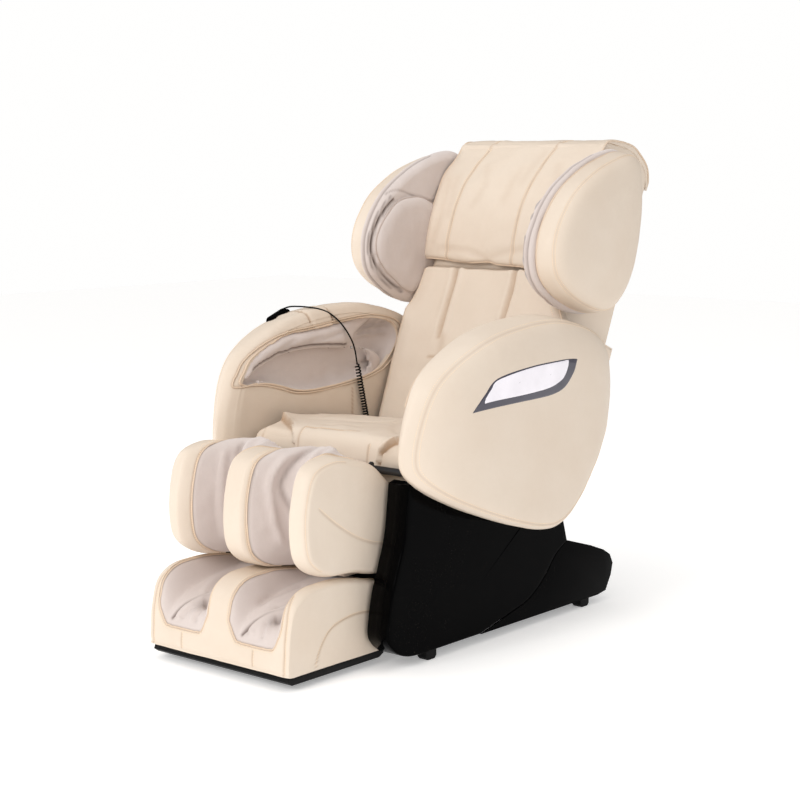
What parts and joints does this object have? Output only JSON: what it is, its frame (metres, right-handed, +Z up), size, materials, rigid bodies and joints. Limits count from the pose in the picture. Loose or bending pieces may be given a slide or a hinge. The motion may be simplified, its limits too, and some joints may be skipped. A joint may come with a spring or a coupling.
{
  "type": "massage chair",
  "caption": "Reclining massage chair with padded arms, head wings, calf and foot rest and a wired handset.",
  "frame": {"origin": "on the floor under the middle of the chair", "axes": "+Z up; the chair faces -Y; +X is the sitter's left"},
  "size_m": [0.744, 1.3002, 1.1005],
  "materials": {
    "leather": "satin",
    "cloth": "matte",
    "black_gloss": "gloss",
    "black_matte": "matte",
    "white_gloss": "gloss",
    "grey_gloss": "gloss",
    "red_plastic": "gloss",
    "dark_steel": "satin",
    "bright_steel": "brushed",
    "alloy": "satin",
    "rubber": "matte",
    "board": "matte"
  },
  "bodies": {
    "base": {"base_frame": "dark_steel", "side_plates": "dark_steel", "seat_frame": "dark_steel", "seat_pan": "board", "seat_cushion": "leather", "base_panel_left": "black_gloss", "base_panel_right": "black_gloss", "tail_cover": "black_gloss", "front_cover": "black_matte", "rubber_feet": "rubber", "wheel_axle": "bright_steel", "control_box": "black_matte", "air_pump": "black_matte", "inlet_module": "black_matte", "arm_left": "leather", "arm_right": "leather", "arm_linings": "cloth", "arm_flaps": "cloth", "trim_white": "white_gloss", "trim_grey": "grey_gloss", "arm_bolts": "bright_steel", "handset": "black_gloss", "cord_gland": "rubber", "handset_cord": "rubber"},
    "back": {"back_frame": "dark_steel", "guide_rails": "bright_steel", "screw_motor": "black_matte", "back_cover": "black_gloss", "back_pad": "leather", "head_pillow": "leather", "wing_left": "leather", "wing_right": "leather", "wing_pads": "cloth", "wing_brackets": "dark_steel"},
    "screw": {"lead_screw": "bright_steel"},
    "massage_carriage": {"carriage": "alloy"},
    "kneader_left": {"kneading_arm_left": "black_matte"},
    "kneader_right": {"kneading_arm_right": "black_matte"},
    "upper_roller_left": {"roller_upper_left": "rubber"},
    "lower_roller_left": {"roller_lower_left": "rubber"},
    "upper_roller_right": {"roller_upper_right": "rubber"},
    "lower_roller_right": {"roller_lower_right": "rubber"},
    "leg_rest": {"leg_frame": "dark_steel", "calf_cushion": "leather"},
    "foot_unit": {"foot_cushion": "leather", "foot_plate": "black_matte", "slide_rods": "bright_steel"},
    "front_foot_roller": {"foot_roller_front": "rubber"},
    "rear_foot_roller": {"foot_roller_rear": "rubber"},
    "recline_tube": {"actuator_tube_back": "black_matte"},
    "recline_rod": {"actuator_rod_back": "bright_steel"},
    "leg_tube": {"actuator_tube_leg": "black_matte"},
    "leg_rod": {"actuator_rod_leg": "bright_steel"},
    "left_wheel": {"wheel_left": "black_matte"},
    "right_wheel": {"wheel_right": "black_matte"},
    "power_rocker": {"rocker_switch": "red_plastic"},
    "power_button": {"button_power": "grey_gloss"},
    "up_button": {"button_up": "grey_gloss"},
    "down_button": {"button_down": "grey_gloss"}
  },
  "joints": [
    {"name": "back_recline", "type": "hinge", "parent": "base", "child": "back", "pos_m": [0, 0.15, 0.38], "axis": [-1, 0, 0], "range_deg": [0, 48]},
    {"name": "leg_lift", "type": "hinge", "parent": "base", "child": "leg_rest", "pos_m": [0, -0.318, 0.402], "axis": [-1, 0, 0], "range_deg": [0, 75]},
    {"name": "foot_extension", "type": "slide", "parent": "leg_rest", "child": "foot_unit", "axis": [0, 0, -1], "range_m": [0, 0.12], "stiffness_N_per_m": 600, "springref_m": -0.12},
    {"name": "carriage_slide", "type": "slide", "parent": "back", "child": "massage_carriage", "axis": [0, 0.3907, 0.9205], "range_m": [-0.18, 0.28]},
    {"name": "screw_spin", "type": "hinge", "parent": "back", "child": "screw", "pos_m": [0, 0.34638, 0.62255], "axis": [0, 0.3907, 0.9205], "continuous": true},
    {"name": "kneading_left", "type": "hinge", "parent": "massage_carriage", "child": "kneader_left", "pos_m": [0, 0.32497, 0.66423], "axis": [1, 0, 0], "range_deg": [-8, 8]},
    {"name": "kneading_right", "type": "hinge", "parent": "massage_carriage", "child": "kneader_right", "pos_m": [0, 0.32497, 0.66423], "axis": [1, 0, 0], "range_deg": [-8, 8]},
    {"name": "upper_roller_left_spin", "type": "hinge", "parent": "kneader_left", "child": "upper_roller_left", "pos_m": [0, 0.32816, 0.72806], "axis": [1, 0, 0], "continuous": true},
    {"name": "lower_roller_left_spin", "type": "hinge", "parent": "kneader_left", "child": "lower_roller_left", "pos_m": [0, 0.28127, 0.6176], "axis": [1, 0, 0], "continuous": true},
    {"name": "upper_roller_right_spin", "type": "hinge", "parent": "kneader_right", "child": "upper_roller_right", "pos_m": [0, 0.32816, 0.72806], "axis": [1, 0, 0], "continuous": true},
    {"name": "lower_roller_right_spin", "type": "hinge", "parent": "kneader_right", "child": "lower_roller_right", "pos_m": [0, 0.28127, 0.6176], "axis": [1, 0, 0], "continuous": true},
    {"name": "front_foot_roller_spin", "type": "hinge", "parent": "foot_unit", "child": "front_foot_roller", "pos_m": [0, -0.58, 0.052], "axis": [1, 0, 0], "continuous": true},
    {"name": "rear_foot_roller_spin", "type": "hinge", "parent": "foot_unit", "child": "rear_foot_roller", "pos_m": [0, -0.51, 0.052], "axis": [1, 0, 0], "continuous": true},
    {"name": "recline_tube_swing", "type": "hinge", "parent": "base", "child": "recline_tube", "pos_m": [0, 0, 0.13], "axis": [-1, 0, 0], "range_deg": [-0.5, 5.2]},
    {"name": "recline_rod_stroke", "type": "slide", "parent": "recline_tube", "child": "recline_rod", "axis": [0, -0.6532, -0.7572], "range_m": [-0.002, 0.053]},
    {"name": "leg_tube_swing", "type": "hinge", "parent": "base", "child": "leg_tube", "pos_m": [0, -0.03, 0.15], "axis": [-1, 0, 0], "range_deg": [-0.5, 4.8]},
    {"name": "leg_rod_stroke", "type": "slide", "parent": "leg_tube", "child": "leg_rod", "axis": [0, -0.8503, 0.5264], "range_m": [-0.002, 0.0735]},
    {"name": "left_wheel_roll", "type": "hinge", "parent": "base", "child": "left_wheel", "pos_m": [0.19, 0.35, 0.04], "axis": [1, 0, 0], "continuous": true},
    {"name": "right_wheel_roll", "type": "hinge", "parent": "base", "child": "right_wheel", "pos_m": [-0.19, 0.35, 0.04], "axis": [1, 0, 0], "continuous": true},
    {"name": "power_rocker_tilt", "type": "hinge", "parent": "base", "child": "power_rocker", "pos_m": [-0.099, 0.4, 0.067], "axis": [1, 0, 0], "range_deg": [-4, 4]},
    {"name": "power_button_press", "type": "slide", "parent": "base", "child": "power_button", "axis": [1, 0, 0], "range_m": [0, 0.0012], "stiffness_N_per_m": 300, "springref_m": -0.0006},
    {"name": "up_button_press", "type": "slide", "parent": "base", "child": "up_button", "axis": [1, 0, 0], "range_m": [0, 0.0012], "stiffness_N_per_m": 300, "springref_m": -0.0006},
    {"name": "down_button_press", "type": "slide", "parent": "base", "child": "down_button", "axis": [1, 0, 0], "range_m": [0, 0.0012], "stiffness_N_per_m": 300, "springref_m": -0.0006}
  ],
  "couplings": [
    {"joint": "screw_spin", "follows": "carriage_slide", "rad_per_m": 314.16},
    {"joint": "rear_foot_roller_spin", "follows": "front_foot_roller_spin", "ratio": 1},
    {"joint": "recline_tube_swing", "follows": "back_recline", "ratio": 0.0985},
    {"joint": "recline_rod_stroke", "follows": "back_recline", "m_per_rad": 0.061045},
    {"joint": "leg_tube_swing", "follows": "leg_lift", "ratio": 0.0571},
    {"joint": "leg_rod_stroke", "follows": "leg_lift", "m_per_rad": 0.054645}
  ]
}
